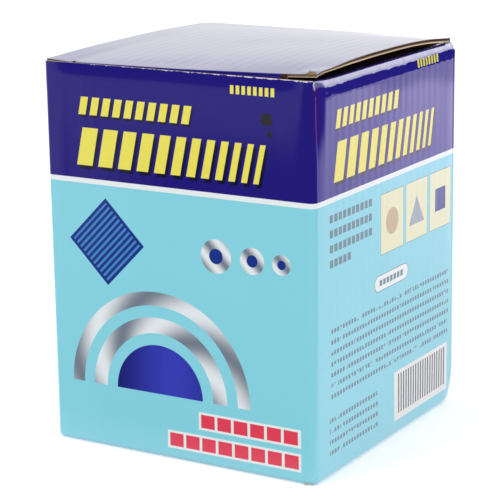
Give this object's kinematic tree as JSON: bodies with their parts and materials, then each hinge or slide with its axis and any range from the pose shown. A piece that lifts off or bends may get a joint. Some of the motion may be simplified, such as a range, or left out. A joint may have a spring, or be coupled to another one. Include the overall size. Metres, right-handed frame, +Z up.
{
  "type": "corrugated tuck-top carton",
  "caption": "Small upright carton in glossy printed corrugated board, with a tuck-top lid creased on its back panel, two inner dust flaps and a crash-lock base.",
  "frame": {"origin": "centre of the underside of the base", "axes": "+Z up, -Y out of the front panel, +X out of the right side panel; the lid's crease runs along X at the back"},
  "size_m": [0.076, 0.076, 0.1001],
  "materials": {
    "printed_board": "glossy film over print, sky blue below a deep blue band",
    "printed_lid_board": "glossy film over deep blue print"
  },
  "bodies": {
    "carton": {"carton": "printed_board"},
    "lid": {"lid": "printed_lid_board"}
  },
  "joints": [
    {"name": "lid_hinge", "type": "hinge", "parent": "carton", "child": "lid", "pos_m": [0, 0.03728, 0.09698], "axis": [-1, 0, 0], "range_deg": [0, 180]}
  ]
}
